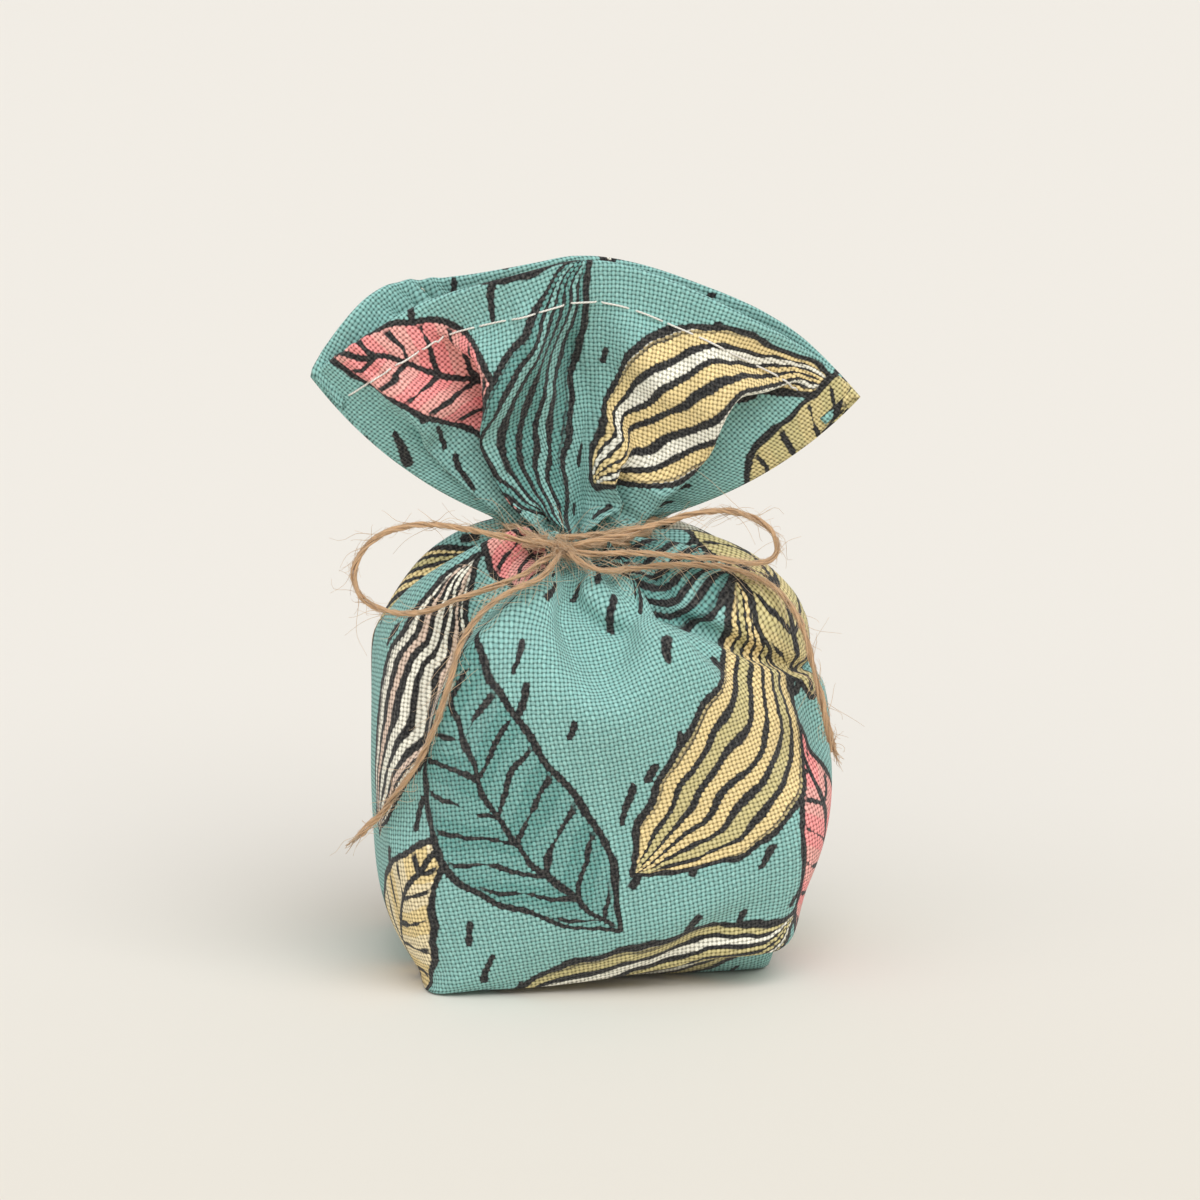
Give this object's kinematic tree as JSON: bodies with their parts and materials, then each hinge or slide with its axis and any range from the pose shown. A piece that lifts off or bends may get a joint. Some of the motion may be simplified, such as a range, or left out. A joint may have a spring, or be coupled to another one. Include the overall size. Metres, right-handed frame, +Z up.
{
  "type": "fabric pouch",
  "caption": "Small stuffed pouch of printed canvas on a boxed base, its neck gathered and tied with a bow of jute twine under a fan-shaped hemmed mouth.",
  "frame": {"origin": "on the surface the pouch stands on, straight below the middle of the neck", "axes": "+Z up, front with the bow towards -Y, +X to the right seen from the front"},
  "size_m": [0.0952, 0.0672, 0.126],
  "materials": {
    "printed_canvas": "plain-weave cotton canvas with a bold print in teal, mustard, coral and cream",
    "canvas_wrong_side": "unprinted side of the canvas",
    "stuffing": "loose white fibre",
    "sewing_thread": "white sewing thread",
    "jute_twine": "twisted jute with loose fibres"
  },
  "bodies": {
    "pouch": {"front_panel": "printed_canvas", "back_panel": "printed_canvas", "filling": "stuffing", "neck_gather": "printed_canvas", "twine_wrap": "jute_twine", "twine_knot": "jute_twine", "left_side_seam": "canvas_wrong_side", "right_side_seam": "canvas_wrong_side", "bottom_seam": "canvas_wrong_side", "left_corner_flap": "canvas_wrong_side", "right_corner_flap": "canvas_wrong_side"},
    "mouth": {"front_mouth_wall": "printed_canvas", "back_mouth_wall": "printed_canvas", "front_hem": "printed_canvas", "back_hem": "printed_canvas", "front_hem_thread": "sewing_thread", "back_hem_thread": "sewing_thread"},
    "left_loop": {"left_bow_loop": "jute_twine"},
    "right_loop": {"right_bow_loop": "jute_twine"},
    "left_tail": {"left_twine_tail": "jute_twine"},
    "right_tail": {"right_twine_tail": "jute_twine"}
  },
  "joints": [
    {"name": "mouth_tilt", "type": "hinge", "parent": "pouch", "child": "mouth", "pos_m": [0, 0, 0.0803], "axis": [1, 0, 0], "range_deg": [-15, 15], "stiffness_Nm_per_rad": 0.01},
    {"name": "left_loop_lift", "type": "hinge", "parent": "pouch", "child": "left_loop", "pos_m": [-0.004, -0.0131, 0.0762], "axis": [0, 1, 0], "range_deg": [0, 30]},
    {"name": "right_loop_lift", "type": "hinge", "parent": "pouch", "child": "right_loop", "pos_m": [-0.004, -0.0131, 0.0762], "axis": [0, -1, 0], "range_deg": [0, 30]},
    {"name": "left_tail_swing", "type": "hinge", "parent": "pouch", "child": "left_tail", "pos_m": [-0.004, -0.0131, 0.0762], "axis": [-0.8083, 0, 0.5888], "range_deg": [0, 30]},
    {"name": "right_tail_swing", "type": "hinge", "parent": "pouch", "child": "right_tail", "pos_m": [-0.004, -0.0131, 0.0762], "axis": [0, 0, -1], "range_deg": [0, 25]}
  ]
}
